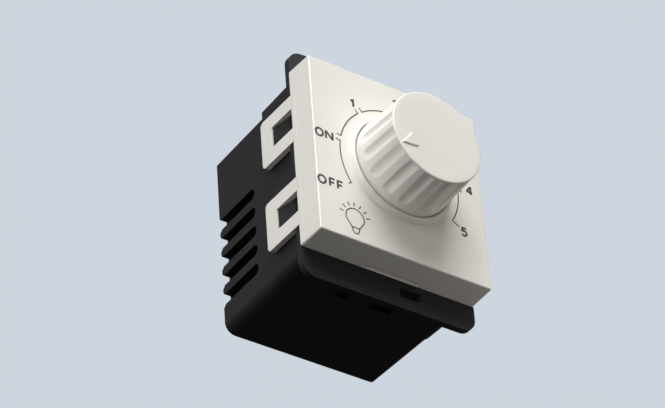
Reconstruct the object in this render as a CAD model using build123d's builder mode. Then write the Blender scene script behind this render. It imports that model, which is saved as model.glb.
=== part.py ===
from build123d import *

import os
from math import cos, degrees, atan, radians, sin, sqrt

# Rotary dimmer switch, a two-module insert for a wall grid frame.
# The part stands as it is installed: X to the right seen from the room, Y into the wall, Z up.
# The origin is the centre of the face, on the seat plane where the flange meets the grid frame.
# All sizes are in millimetres.

# How far a joined form reaches into its carrier, a cut past the surface, and a hole round what it takes
overlap = 0.5
cut_past = 0.1
hole_clearance = 0.1

# White face
face_width = 42.8
face_height = 45.0
face_depth = 6.7
face_draft = 0.2
face_wall = 1.8
side_wall = 1.6
face_edge_radius = 0.3
face_corner_radius = 0.5
shaft_hole_radius = 4.2
scoop_width = 14.0
scoop_depth = 1.3
scoop_rise = 0.7
seat_recess = 0.2
seat_play = 0.1

# Raised collar that the dial turns in
collar_outer_radius = 13.0
collar_top_radius = 12.6
collar_inner_radius = 11.95
collar_height = 1.4
collar_edge = 0.25

# Latch loops, two on each side of the face
loop_thickness = 1.2
loop_height = 12.1
loop_length = 11.5
loop_window_height = 5.2
loop_window_end = 7.6
loop_pitch = 21.4
loop_mid_z = -0.5
loop_corner_radius = 1.0
loop_gap = 0.15
loop_gap_width = 4.0

# Dial knob
cap_radius = 11.1
skirt_radius = 11.7
knob_front_y = -20.0
knob_back_y = -7.1
cap_lip = 0.35
cap_edge = 0.15
skirt_top_y = -9.5
flute_count = 17
flute_radius = 2.0
flute_depth = 0.5
flute_margin = 0.2
flute_run_out = 1.6
flute_end_radius = 1.4
flute_phase = 193.0
knob_wall = 1.7
hub_radius = 4.6
hub_step = 0.6
pointer_angle = 208.0
pointer_tip = 10.6
pointer_base = 6.6
pointer_half_width = 1.8
pointer_height = 0.3

# Seat flange with its two ears
flange_width = 43.2
flange_top = 28.7
flange_bottom = -29.5
flange_thickness = 1.5
ear_corner_radius = 3.5
ear_window = (5.2, 2.2)
ear_window_place = (5.2, 25.6)

# Black body: front half on the flange, rear half clipped to it
parting_y = 13.0
back_y = 32.4
front_half_width = 19.95
front_top = 21.75
front_bottom = -24.2
front_draft = 1.5
rear_half_width = 18.95
rear_top = 20.75
rear_bottom = -23.6
rear_draft = 1.15
body_wall = 1.8
front_wall = 1.9
front_bottom_radii = (2.5, 2.5)
rear_bottom_radii = (2.6, 1.2)
top_edge_radius = 0.7
back_edge = 0.35
rim_length = 1.0
rim_gap = 0.05

# Catches that the latch loops snap over
catch_height = 1.0
catch_start_y = 2.6
catch_clearance = 0.25
catch_overlap = 0.3

# Snap tongues of the rear housing, as centre and width along X
tongues = ((-6.0, 2.4), (3.6, 4.8))
tongue_thickness = 0.95
tongue_tip_y = 7.5
hook_length = 1.5
hook_height = 1.2
tongue_root = 1.0
window_play = 0.25

# Cooling slots, five on each side
slot_count = 5
slot_pitch = 4.85
slot_height = 2.6
slot_top_z = 5.3
slot_start_y = 18.5
slot_depth = 2.0
slot_mouth_radius = 1.1
slot_mouth_angle = 68

# Circuit board on four posts
board_thickness = 1.6
board_half_width = 17.0
board_top = 18.1
board_bottom = -21.2
board_hole_radius = 1.2
post_radius = 2.6
post_places = ((-14.4, 15.6), (14.4, 15.6), (-14.4, -18.6), (14.4, -18.6))
board_screw_radius = 1.05
board_screw_length = 8.0
board_screw_head = 1.5
board_screw_head_radius = 1.9
board_screw_edge = 0.4
screw_hole_spare = 0.5
lead_hole = 1.2

# Potentiometer with its switch
shaft_radius = 3.0
shaft_clearance = 0.05
shaft_front_y = -17.4
shaft_back_y = 10.6
flat_offset = 1.6
flat_back_y = -8.0
shaft_edge = 0.4
clip_thickness = 0.5
clip_gap = 0.2
bush_radius = 3.5
bush_front_y = -6.0
bush_head_radius = 4.6
bush_head = 0.5
case_radius = 8.3
case_wall = 0.6
case_front_wall = 1.0
case_depth = 6.5
case_edge = 0.4
rotor_radius = 7.2
rotor_thickness = 1.3
rotor_gap = 0.2
track_radius = case_radius - case_wall
track_thickness = 1.0
track_y = 7.6
track_clearance = 0.4
tag_xs = (-5.0, 0.0, 5.0)
tag_top_z = -5.0
tag_bend_z = -9.4
tag_thickness = 0.4
tag_gap_half_width = 6.4
tag_gap_top = -3.0
washer_radius = 5.6
washer_thickness = 0.6
nut_flats = 10.0
nut_thickness = 2.4
ring_thickness = 0.4
ring_radius = 3.9
ring_groove_radius = 2.5
ring_opening = 4.0
ring_gap = 0.05
switch_size = (16.0, 13.5, 3.2)
switch_mid_z = 1.5
switch_corner_radius = 0.8
switch_clearance = 0.2
switch_pin_xs = (-5.0, 5.0)
switch_pin_z = 6.5

# Wiper: a strip on the disc with two fingers, each size along and across the radius
wiper_radius = 5.4
wiper_strip = (2.6, 5.0)
wiper_thickness = 0.3
wiper_finger_radii = (4.7, 6.1)
wiper_finger = (0.7, 1.2)
wiper_finger_offset = 1.9
wiper_gap = 0.05

# Heat sink and triac
sink_half_width = 11.5
sink_top = 17.0
sink_bottom = -20.4
sink_thickness = 1.5
sink_corner_radius = 1.0
pad_thickness = 0.2
pad_margin = 1.0
pad_half_height = 5.7
triac_z = -14.6
tab_left = -8.0
tab_length = 6.3
tab_width = 10.2
tab_thickness = 1.3
tab_corner = 0.8
triac_length = 9.2
triac_thickness = 4.5
triac_half_height = 5.1
triac_draft = 3
triac_screw_radius = 1.5
triac_screw_head_radius = 2.8
triac_screw_head = 1.7
triac_screw_edge = 0.5
triac_nut_flats = 5.5
triac_nut_thickness = 2.4
lead_pitch = 2.54
lead_width = 0.8
lead_thickness = 0.5
lead_stub = 0.25
lead_inset = 0.1
lead_rise = 2.4
lead_bend = 1.6

# Interference choke
choke_place = (-6.5, -8.0)
choke_outer_radius = 8.0
choke_inner_radius = 4.0
choke_length = 7.0
wire_width = 0.9
choke_turns = 18
choke_lift = 0.9

# Film capacitors: centre, then width, height and depth
main_capacitor = ((10.4, -9.5), (6.0, 13.0), 11.0)
small_capacitor = ((15.2, -7.0), (3.4, 7.2), 8.0)
capacitor_lead_pitch = (10.0, 5.0)
capacitor_edge = 0.5

# Axial parts
resistor_places = ((-9.5, 4.4), (4.5, 4.4))
resistor_radius = 1.15
resistor_length = 6.3
diac_place = (-1.0, -20.0)
diac_radius = 0.9
diac_length = 3.9
axial_lead_radius = 0.3
axial_lead_overhang = 1.6
axial_lift = 0.1

# Tunnel terminals at the back
terminal_xs = (-7.0, 7.0)
clamp_width = 7.0
clamp_bottom = 8.6
clamp_top = 17.0
clamp_front_y = 18.9
clamp_length = 9.1
clamp_edge = 0.4
wire_bore_radius = 1.75
wire_bore_z = 11.2
wire_bore_length = 7.6
wire_window = 5.6
wire_guide_wall = 0.7
terminal_screw_radius = 1.5
terminal_screw_head_radius = 2.6
terminal_screw_head = 1.2
screw_slot = (0.8, 0.6)
terminal_screw_tip_z = 13.2
screw_hole_radius = 2.9
shelf_thickness = 1.1
divider_thickness = 1.2
lug_width = 3.0
lug_thickness = 0.8
lug_rise = 1.6

# Places that follow from the sizes above
face_y = -face_depth
face_taper = degrees(atan(face_draft / face_depth))
loop_outer_x = face_width / 2 + face_draft
loop_inner_x = loop_outer_x - loop_thickness
loop_zs = (loop_mid_z + loop_pitch / 2, loop_mid_z - loop_pitch / 2)
cavity_half_width = rear_half_width - body_wall
cavity_top = rear_top - body_wall
cavity_bottom = rear_bottom + body_wall
back_wall_y = back_y - body_wall
sink_back_y = flange_thickness + sink_thickness
case_back_y = sink_back_y + case_depth
rotor_y = sink_back_y + case_front_wall + bush_head + rotor_gap
board_back_y = parting_y + board_thickness
triac_y = sink_back_y + pad_thickness
triac_right = tab_left + tab_length + triac_length
tab_hole_x = tab_left + tab_length / 2
clamp_back_y = clamp_front_y + clamp_length
lead_end_y = board_back_y - lead_inset
lead_length = board_thickness + lead_stub
main_leads = [
    (main_capacitor[0][0], main_capacitor[0][1] + side * capacitor_lead_pitch[0] / 2) for side in (-1, 1)
]
small_leads = [
    (small_capacitor[0][0], small_capacitor[0][1] + side * capacitor_lead_pitch[1] / 2) for side in (-1, 1)
]


def at_depth(y):
    """Sketch plane at depth y: X right, Z up, facing the room, so an extrusion comes forward."""
    return Plane.XZ.offset(-y)


def dial_plane(y, angle):
    """The same plane with its X axis turned to a dial angle, counted up from the right."""
    turned = (cos(radians(angle)), 0, sin(radians(angle)))
    return Plane(origin=(0, y, 0), x_dir=turned, z_dir=(0, -1, 0))


def body_outline(half_width, top, bottom, bottom_radii):
    """Outline of the body at one depth: softer corners below, left and right, than above."""
    with BuildSketch() as outline:
        with Locations((0, (top + bottom) / 2)):
            Rectangle(2 * half_width, top - bottom)
        fillet(outline.vertices().group_by(Axis.Y)[-1], top_edge_radius)
        fillet(outline.vertices().group_by(Axis.Y)[0].sort_by(Axis.X)[0], bottom_radii[0])
        fillet(outline.vertices().group_by(Axis.Y)[0].sort_by(Axis.X)[-1], bottom_radii[1])
    return outline.sketch


def rectangle_face(x0, x1, z0, z1):
    """Rectangle from its limits, for a sketch plane that shows X and Z."""
    with BuildSketch() as area:
        with Locations(((x0 + x1) / 2, (z0 + z1) / 2)):
            Rectangle(x1 - x0, z1 - z0)
    return area.sketch


# White face with its collar, scoop and latch loops
with BuildPart() as front_plate:
    with BuildSketch(at_depth(seat_recess)):
        RectangleRounded(face_width + 2 * face_draft, face_height + 2 * face_draft, face_corner_radius)
    extrude(amount=face_depth + seat_recess, taper=face_taper)
    fillet(front_plate.faces().sort_by(Axis.Y)[0].edges(), face_edge_radius)
    with BuildSketch(at_depth(seat_recess)):
        Rectangle(face_width - 2 * side_wall, face_height - 2 * side_wall)
    extrude(amount=face_depth + seat_recess - face_wall, mode=Mode.SUBTRACT)
    with BuildSketch(Plane.XY):
        with BuildLine():
            Polyline(
                (collar_inner_radius, face_y + overlap),
                (collar_inner_radius, face_y - collar_height),
                (collar_top_radius, face_y - collar_height),
                (collar_outer_radius, face_y),
                (collar_outer_radius, face_y + overlap),
                close=True,
            )
        make_face()
    revolve(axis=Axis.Y)
    collar_rim = front_plate.edges().filter_by(GeomType.CIRCLE).group_by(Axis.Y)[0]
    chamfer(collar_rim, collar_edge)
    with BuildSketch(at_depth(0)):
        Circle(shaft_hole_radius)
    extrude(amount=face_depth, mode=Mode.SUBTRACT)
    # The scoop is a groove under the bottom back edge, ramped so that a screwdriver tip slides in
    with BuildSketch(Plane.YZ):
        with BuildLine():
            Polyline(
                (seat_recess, -face_height / 2 - face_draft),
                (seat_recess - scoop_depth, -face_height / 2 - face_draft + scoop_rise),
                (seat_recess - scoop_depth, -face_height / 2 - face_draft - cut_past),
                (seat_recess, -face_height / 2 - face_draft - cut_past),
                close=True,
            )
        make_face()
    extrude(amount=scoop_width / 2, both=True, mode=Mode.SUBTRACT)
    for side in (-1, 1):
        with BuildSketch(Plane.YZ.offset(side * loop_outer_x)) as loop:
            for loop_z in loop_zs:
                with Locations((loop_length / 2 - overlap, loop_z)):
                    Rectangle(loop_length + 2 * overlap, loop_height)
            fillet(loop.vertices().group_by(Axis.Y)[-1], loop_corner_radius)
            for loop_z in loop_zs:
                with Locations((loop_window_end / 2, loop_z)):
                    Rectangle(loop_window_end, loop_window_height, mode=Mode.SUBTRACT)
        extrude(amount=-side * loop_thickness)
front_plate.part.label = "front_plate"


# One flute cutter, standing on Z with X pointing out of the dial
flute_axis_back = skirt_radius + flute_radius - flute_depth
flute_tilt = degrees(atan((skirt_radius - cap_radius) / (skirt_top_y - knob_front_y)))
flute_half_width = sqrt(flute_radius**2 - (flute_radius - flute_depth) ** 2)
flute_end_y = skirt_top_y - flute_half_width - flute_margin
flute_length = flute_end_y - knob_front_y - cap_lip - flute_margin / 2
with BuildPart() as flute_cutter:
    flute_plane = Plane((flute_axis_back, 0, 0)).rotated((0, -flute_tilt, 0))
    with BuildSketch(flute_plane):
        Circle(flute_radius)
    extrude(amount=flute_length)
    with Locations((flute_axis_back, 0, 0)):
        Cone(flute_end_radius, flute_radius, flute_run_out, align=(Align.CENTER, Align.CENTER, Align.MAX))


# Dial knob with its hub
with BuildPart() as knob:
    with BuildSketch(Plane.XY) as knob_profile:
        with BuildLine():
            Polyline(
                (0, knob_front_y),
                (cap_radius, knob_front_y),
                (cap_radius, knob_front_y + cap_lip),
                (skirt_radius, skirt_top_y),
                (skirt_radius, knob_back_y),
                (skirt_radius - knob_wall, knob_back_y),
                (cap_radius - knob_wall, knob_front_y + knob_wall),
                (hub_radius, knob_front_y + knob_wall),
                (hub_radius, knob_back_y - hub_step),
                (0, knob_back_y - hub_step),
                close=True,
            )
        make_face()
    revolve(axis=Axis.Y)
    chamfer(knob.faces().sort_by(Axis.Y)[0].edges(), cap_edge)
    with Locations(dial_plane(flute_end_y, flute_phase)):
        with PolarLocations(0, flute_count):
            add(flute_cutter.part, mode=Mode.SUBTRACT)
    with BuildSketch(dial_plane(knob_front_y, pointer_angle)):
        with BuildLine():
            Polyline(
                (pointer_tip, 0),
                (pointer_base, pointer_half_width),
                (pointer_base, -pointer_half_width),
                close=True,
            )
        make_face()
    extrude(amount=pointer_height)
    # Round bore, filled by the shaft and, where the shaft is flat, by the leaf spring
    with BuildSketch(dial_plane(knob_back_y, pointer_angle)):
        Circle(shaft_radius)
    extrude(amount=knob_back_y - shaft_front_y, mode=Mode.SUBTRACT)
knob.part.label = "knob"


# Leaf spring between the shaft's flat and the hub
with BuildPart() as knob_clip:
    with BuildSketch(dial_plane(flat_back_y - clip_gap, pointer_angle)):
        Circle(shaft_radius)
        with Locations((flat_offset - shaft_radius, 0)):
            Rectangle(2 * shaft_radius, 2 * shaft_radius, mode=Mode.SUBTRACT)
        with Locations((flat_offset + clip_thickness + shaft_radius, 0)):
            Rectangle(2 * shaft_radius, 2 * shaft_radius, mode=Mode.SUBTRACT)
    extrude(amount=flat_back_y - clip_gap - shaft_front_y)
knob_clip.part.label = "knob_clip"


# Shaft with its flat and the groove of the retaining ring
with BuildPart() as pot_shaft:
    with BuildSketch(at_depth(shaft_back_y)):
        Circle(shaft_radius)
    extrude(amount=shaft_back_y - shaft_front_y)
    chamfer(pot_shaft.faces().sort_by(Axis.Y)[0].edges(), shaft_edge)
    with BuildSketch(at_depth(bush_front_y - ring_gap)):
        Circle(shaft_radius + cut_past)
        Circle(ring_groove_radius, mode=Mode.SUBTRACT)
    extrude(amount=ring_thickness, mode=Mode.SUBTRACT)
    with BuildSketch(dial_plane(flat_back_y, pointer_angle)):
        with Locations((flat_offset + shaft_radius, 0)):
            Rectangle(2 * shaft_radius, 3 * shaft_radius)
    extrude(amount=flat_back_y - shaft_front_y, mode=Mode.SUBTRACT)
pot_shaft.part.label = "pot_shaft"


with BuildPart() as retaining_ring:
    with BuildSketch(dial_plane(bush_front_y - ring_gap, pointer_angle)):
        Circle(ring_radius)
        Circle(ring_groove_radius, mode=Mode.SUBTRACT)
        with Locations((ring_radius, 0)):
            Rectangle(2 * ring_radius, ring_opening, mode=Mode.SUBTRACT)
    extrude(amount=ring_thickness)
retaining_ring.part.label = "retaining_ring"


# Black flange with the front half of the body behind it
with BuildPart() as mounting_frame:
    with BuildSketch(at_depth(flange_thickness)):
        with Locations((0, (flange_top + flange_bottom) / 2)):
            RectangleRounded(flange_width, flange_top - flange_bottom, ear_corner_radius)
    extrude(amount=flange_thickness)
    with BuildSketch(at_depth(parting_y)):
        add(body_outline(front_half_width, front_top, front_bottom, front_bottom_radii))
    extrude(amount=parting_y - flange_thickness, taper=-front_draft)
    with BuildSketch(at_depth(parting_y)):
        add(rectangle_face(-front_half_width + front_wall, front_half_width - front_wall,
                           front_bottom + body_wall, front_top - body_wall))
    extrude(amount=parting_y - flange_thickness, mode=Mode.SUBTRACT)
    # Catches, ramped towards the room so that the loops slide over them
    catch_back_y = loop_window_end - catch_clearance
    catch_root_x = front_half_width - catch_overlap
    for loop_z in loop_zs:
        for side in (-1, 1):
            with BuildSketch(Plane.XY.offset(loop_z)):
                with BuildLine():
                    Polyline(
                        (side * catch_root_x, catch_start_y),
                        (side * loop_inner_x, catch_start_y),
                        (side * (loop_inner_x + catch_height), catch_back_y),
                        (side * catch_root_x, catch_back_y),
                        close=True,
                    )
                make_face()
            extrude(amount=loop_window_height / 2 - catch_clearance, both=True)
    # Shallow recess that the edge of the face sits in
    with BuildSketch(at_depth(seat_recess)):
        Rectangle(flange_width + 2 * overlap, face_height + 2 * face_draft + seat_play)
    extrude(amount=seat_recess, mode=Mode.SUBTRACT)
    # Gaps in the flange for the loops
    with BuildSketch(at_depth(flange_thickness)):
        for loop_z in loop_zs:
            for side in (-1, 1):
                with Locations((side * (loop_inner_x - loop_gap + loop_gap_width / 2), loop_z)):
                    Rectangle(loop_gap_width, loop_height + 2 * loop_gap)
    extrude(amount=flange_thickness, mode=Mode.SUBTRACT)
    # Holes for the potentiometer's bush and the triac's screw, and a window in each ear
    with BuildSketch(at_depth(flange_thickness)):
        Circle(bush_radius + hole_clearance)
        with Locations((tab_hole_x, triac_z)):
            Circle(triac_screw_radius + hole_clearance)
        for end in (-1, 1):
            with Locations((ear_window_place[0] * -end, ear_window_place[1] * end)):
                Rectangle(*ear_window)
    extrude(amount=flange_thickness, mode=Mode.SUBTRACT)
    # Windows for the snap tongues of the rear housing, below and above
    for centre_x, width in tongues:
        for wall_z, turn in ((front_bottom, 1), (front_top, -1)):
            with BuildSketch(at_depth(tongue_tip_y + hook_length + window_play)):
                with Locations((turn * centre_x, wall_z)):
                    Rectangle(width + 2 * window_play, 2 * (body_wall + cut_past))
            extrude(amount=hook_length + 2 * window_play, mode=Mode.SUBTRACT)
    # Posts under the board
    with BuildSketch(at_depth(parting_y)):
        with Locations(*post_places):
            Circle(post_radius)
    extrude(amount=parting_y - flange_thickness)
    with BuildSketch(at_depth(parting_y)):
        with Locations(*post_places):
            Circle(board_screw_radius)
    extrude(amount=board_screw_length + screw_hole_spare, mode=Mode.SUBTRACT)
mounting_frame.part.label = "mounting_frame"


# One cooling slot seen from the side, with a rounded front end and a flared mouth at the back
def slot_outline(top):
    """Slot from its rounded front end to a mouth whose lips are rounded off."""
    bottom = top - slot_height
    mid = (top + bottom) / 2
    half = slot_height / 2
    lip_length = slot_mouth_radius * sin(radians(slot_mouth_angle))
    lip_rise = slot_mouth_radius * (1 - cos(radians(slot_mouth_angle)))
    lip_y = back_y - lip_length
    with BuildSketch() as outline:
        with BuildLine():
            front = ThreePointArc(
                (slot_start_y + half, bottom), (slot_start_y, mid), (slot_start_y + half, top)
            )
            upper = Line(front @ 1, (lip_y, top))
            flare = RadiusArc(upper @ 1, (back_y, top + lip_rise), slot_mouth_radius)
            outside = Polyline(
                flare @ 1,
                (back_y + 2 * overlap, top + lip_rise),
                (back_y + 2 * overlap, bottom - lip_rise),
                (back_y, bottom - lip_rise),
            )
            lower = RadiusArc(outside @ 1, (lip_y, bottom), slot_mouth_radius)
            Line(lower @ 1, front @ 0)
        make_face()
    return outline.sketch


# Rear shell with slots, terminal shelf and snap tongues
with BuildPart() as rear_housing:
    with BuildSketch(at_depth(back_y)):
        add(body_outline(rear_half_width, rear_top, rear_bottom, rear_bottom_radii))
    extrude(amount=back_y - parting_y, taper=-rear_draft)
    chamfer(rear_housing.faces().sort_by(Axis.Y)[-1].edges(), back_edge)
    # Rim that locates the shell inside the front half
    with BuildSketch(at_depth(parting_y)):
        add(rectangle_face(-front_half_width + front_wall + rim_gap, front_half_width - front_wall - rim_gap,
                           front_bottom + body_wall + rim_gap, front_top - body_wall - rim_gap))
    extrude(amount=rim_length)
    with BuildSketch(at_depth(back_wall_y)):
        add(rectangle_face(-cavity_half_width, cavity_half_width, cavity_bottom, cavity_top))
    extrude(amount=back_wall_y - parting_y + rim_length, mode=Mode.SUBTRACT)
    # Snap tongues with their hooks, below and above
    for centre_x, width in tongues:
        for wall_z, turn in ((front_bottom + body_wall + rim_gap, 1), (front_top - body_wall - rim_gap, -1)):
            with BuildSketch(at_depth(parting_y + tongue_root)):
                with Locations((turn * centre_x, wall_z + turn * tongue_thickness / 2)):
                    Rectangle(width, tongue_thickness)
            extrude(amount=parting_y + tongue_root - tongue_tip_y)
            with BuildSketch(at_depth(tongue_tip_y + hook_length)):
                with Locations((turn * centre_x, wall_z - turn * hook_height / 2)):
                    Rectangle(width, hook_height)
            extrude(amount=hook_length)
    # Shelf and dividers round the terminals
    with BuildSketch(at_depth(back_wall_y)):
        add(rectangle_face(-cavity_half_width, cavity_half_width,
                           clamp_bottom - shelf_thickness, clamp_bottom))
        for divider_x in (-terminal_xs[1] - clamp_width / 2 - divider_thickness / 2, 0,
                          terminal_xs[1] + clamp_width / 2 + divider_thickness / 2):
            with Locations((divider_x, (clamp_bottom + cavity_top) / 2)):
                Rectangle(divider_thickness, cavity_top - clamp_bottom)
    extrude(amount=back_wall_y - clamp_front_y)
    # Square wire guides from the back wall to the terminals, and screw holes in the top
    wire_places = [(terminal_x, wire_bore_z) for terminal_x in terminal_xs]
    with BuildSketch(at_depth(back_wall_y)):
        with Locations(*wire_places):
            Rectangle(wire_window + 2 * wire_guide_wall, wire_window + 2 * wire_guide_wall)
    extrude(amount=back_wall_y - clamp_back_y)
    with BuildSketch(at_depth(back_y)):
        with Locations(*wire_places):
            Rectangle(wire_window, wire_window)
    extrude(amount=back_y - clamp_back_y, mode=Mode.SUBTRACT)
    for terminal_x in terminal_xs:
        with BuildSketch(Plane.XY.offset(cavity_top)):
            with Locations((terminal_x, clamp_front_y + clamp_length / 2)):
                Circle(screw_hole_radius)
        extrude(amount=2 * body_wall, mode=Mode.SUBTRACT)
    for side in (-1, 1):
        with BuildSketch(Plane.YZ.offset(side * (rear_half_width - slot_depth))):
            for row in range(slot_count):
                add(slot_outline(slot_top_z - row * slot_pitch))
        extrude(amount=side * 2 * slot_depth, mode=Mode.SUBTRACT)
rear_housing.part.label = "rear_housing"


# Potentiometer, from the front
with BuildPart() as pot_washer:
    with BuildSketch(at_depth(seat_recess)):
        Circle(washer_radius)
        Circle(bush_radius, mode=Mode.SUBTRACT)
    extrude(amount=washer_thickness)
pot_washer.part.label = "pot_washer"

with BuildPart() as pot_nut:
    with BuildSketch(at_depth(seat_recess - washer_thickness)):
        RegularPolygon(nut_flats / 2, 6, major_radius=False)
        Circle(bush_radius, mode=Mode.SUBTRACT)
    extrude(amount=nut_thickness)
pot_nut.part.label = "pot_nut"

case_front_y = sink_back_y + case_front_wall
with BuildPart() as pot_bush:
    with BuildSketch(at_depth(case_front_y + bush_head)):
        Circle(bush_head_radius)
    extrude(amount=bush_head)
    with BuildSketch(at_depth(case_front_y)):
        Circle(bush_radius)
    extrude(amount=case_front_y - bush_front_y)
    with BuildSketch(at_depth(case_front_y + bush_head)):
        Circle(shaft_radius + shaft_clearance)
    extrude(amount=case_front_y + bush_head - bush_front_y, mode=Mode.SUBTRACT)
pot_bush.part.label = "pot_bush"

with BuildPart() as pot_case:
    with BuildSketch(at_depth(case_back_y)):
        Circle(case_radius)
    extrude(amount=case_depth)
    chamfer(pot_case.faces().sort_by(Axis.Y)[0].edges(), case_edge)
    with BuildSketch(at_depth(case_back_y)):
        Circle(track_radius)
    extrude(amount=case_depth - case_front_wall, mode=Mode.SUBTRACT)
    with BuildSketch(at_depth(case_front_y)):
        Circle(bush_radius)
    extrude(amount=case_front_wall, mode=Mode.SUBTRACT)
    # Gap below for the three tags
    with BuildSketch(at_depth(case_back_y)):
        add(rectangle_face(-tag_gap_half_width, tag_gap_half_width,
                           -case_radius - overlap, tag_gap_top))
    extrude(amount=case_back_y - track_y, mode=Mode.SUBTRACT)
pot_case.part.label = "pot_case"

with BuildPart() as wiper_rotor:
    with BuildSketch(at_depth(rotor_y + rotor_thickness)):
        Circle(rotor_radius)
        Circle(shaft_radius, mode=Mode.SUBTRACT)
    extrude(amount=rotor_thickness)
wiper_rotor.part.label = "wiper_rotor"

# Contact: an arched strip that reaches from the disc to just short of the track
wiper_reach = track_y - rotor_y - rotor_thickness - wiper_gap
with BuildPart() as wiper_contact:
    with BuildSketch(dial_plane(rotor_y + rotor_thickness + wiper_thickness, pointer_angle)):
        with Locations((wiper_radius, 0)):
            Rectangle(*wiper_strip)
    extrude(amount=wiper_thickness)
    with BuildSketch(dial_plane(rotor_y + rotor_thickness + wiper_reach, pointer_angle)):
        for finger_radius in wiper_finger_radii:
            with Locations((finger_radius, wiper_finger_offset)):
                Rectangle(*wiper_finger)
    extrude(amount=wiper_reach - wiper_thickness)
wiper_contact.part.label = "wiper_contact"

with BuildPart() as resistance_track:
    with BuildSketch(at_depth(track_y + track_thickness)):
        Circle(track_radius)
        Circle(shaft_radius + track_clearance, mode=Mode.SUBTRACT)
    extrude(amount=track_thickness)
resistance_track.part.label = "resistance_track"

# Tags: flat along the back of the wafer, then back through the board
track_back_y = track_y + track_thickness
with BuildPart() as pot_pins:
    for tag_x in tag_xs:
        with BuildSketch(Plane.YZ.offset(tag_x)):
            with BuildLine():
                Polyline(
                    (track_back_y, tag_top_z),
                    (track_back_y, tag_bend_z),
                    (lead_end_y, tag_bend_z),
                    (lead_end_y, tag_bend_z + tag_thickness),
                    (track_back_y + tag_thickness, tag_bend_z + tag_thickness),
                    (track_back_y + tag_thickness, tag_top_z),
                    close=True,
                )
            make_face()
        extrude(amount=lead_width / 2, both=True)
pot_pins.part.label = "pot_pins"

with BuildPart() as power_switch:
    with BuildSketch(at_depth(case_back_y + switch_size[2])):
        with Locations((0, switch_mid_z)):
            RectangleRounded(switch_size[0], switch_size[1], switch_corner_radius)
    extrude(amount=switch_size[2])
    with BuildSketch(at_depth(shaft_back_y + switch_clearance)):
        Circle(shaft_radius + switch_clearance)
    extrude(amount=shaft_back_y + switch_clearance - case_back_y, mode=Mode.SUBTRACT)
power_switch.part.label = "power_switch"

with BuildPart() as switch_pins:
    with BuildSketch(at_depth(lead_end_y)):
        with Locations(*[(pin_x, switch_pin_z) for pin_x in switch_pin_xs]):
            Rectangle(lead_width, lead_thickness)
    extrude(amount=lead_end_y - case_back_y - switch_size[2])
switch_pins.part.label = "switch_pins"


# Heat sink with the triac
with BuildPart() as heat_sink:
    with BuildSketch(at_depth(sink_back_y)) as sink_area:
        add(rectangle_face(-sink_half_width, sink_half_width, sink_bottom, sink_top))
        fillet(sink_area.vertices(), sink_corner_radius)
        Circle(bush_radius + hole_clearance, mode=Mode.SUBTRACT)
        with Locations((tab_hole_x, triac_z)):
            Circle(triac_screw_radius + hole_clearance, mode=Mode.SUBTRACT)
    extrude(amount=sink_thickness)
heat_sink.part.label = "heat_sink"

with BuildPart() as insulating_pad:
    with BuildSketch(at_depth(triac_y)):
        add(rectangle_face(tab_left - pad_margin, triac_right + pad_margin,
                           triac_z - pad_half_height, triac_z + pad_half_height))
        with Locations((tab_hole_x, triac_z)):
            Circle(triac_screw_radius + hole_clearance, mode=Mode.SUBTRACT)
    extrude(amount=pad_thickness)
insulating_pad.part.label = "insulating_pad"

lead_zs = (triac_z - lead_pitch, triac_z, triac_z + lead_pitch)
lead_bend_x = triac_right + lead_bend
lead_y = triac_y + lead_rise
with BuildPart() as triac_tab:
    with BuildSketch(at_depth(triac_y + tab_thickness)) as tab_area:
        add(rectangle_face(tab_left, tab_left + tab_length,
                           triac_z - tab_width / 2, triac_z + tab_width / 2))
        chamfer(tab_area.vertices().group_by(Axis.X)[0], tab_corner)
        with Locations((tab_hole_x, triac_z)):
            Circle(triac_screw_radius + hole_clearance, mode=Mode.SUBTRACT)
    extrude(amount=tab_thickness)
    for lead_z in lead_zs:
        with BuildSketch(Plane.XY.offset(lead_z)):
            with BuildLine():
                Polyline(
                    (triac_right, lead_y),
                    (lead_bend_x, lead_y),
                    (lead_bend_x, lead_end_y),
                    (lead_bend_x - lead_thickness, lead_end_y),
                    (lead_bend_x - lead_thickness, lead_y + lead_thickness),
                    (triac_right, lead_y + lead_thickness),
                    close=True,
                )
            make_face()
        extrude(amount=lead_width / 2, both=True)
triac_tab.part.label = "triac_tab"

with BuildPart() as triac_body:
    with BuildSketch(at_depth(triac_y)):
        add(rectangle_face(tab_left + tab_length, triac_right,
                           triac_z - triac_half_height, triac_z + triac_half_height))
    extrude(amount=-triac_thickness, taper=triac_draft)
triac_body.part.label = "triac_body"

with BuildPart() as triac_screw:
    with BuildSketch(at_depth(seat_recess)):
        with Locations((tab_hole_x, triac_z)):
            Circle(triac_screw_head_radius)
    extrude(amount=triac_screw_head)
    chamfer(triac_screw.faces().sort_by(Axis.Y)[0].edges(), triac_screw_edge)
    with BuildSketch(at_depth(triac_y + tab_thickness + triac_nut_thickness)):
        with Locations((tab_hole_x, triac_z)):
            Circle(triac_screw_radius)
    extrude(amount=triac_y + tab_thickness + triac_nut_thickness - seat_recess)
triac_screw.part.label = "triac_screw"

with BuildPart() as triac_nut:
    with BuildSketch(at_depth(triac_y + tab_thickness + triac_nut_thickness)):
        with Locations((tab_hole_x, triac_z)):
            RegularPolygon(triac_nut_flats / 2, 6, major_radius=False)
            Circle(triac_screw_radius, mode=Mode.SUBTRACT)
    extrude(amount=triac_nut_thickness)
triac_nut.part.label = "triac_nut"


# Choke: an iron powder ring lying on the board, wound all round
choke_mid_y = board_back_y + choke_lift + choke_length / 2
with BuildPart() as choke_core:
    with BuildSketch(at_depth(choke_mid_y + choke_length / 2)):
        with Locations(choke_place):
            Circle(choke_outer_radius)
            Circle(choke_inner_radius, mode=Mode.SUBTRACT)
    extrude(amount=choke_length)
choke_core.part.label = "choke_core"

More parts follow.
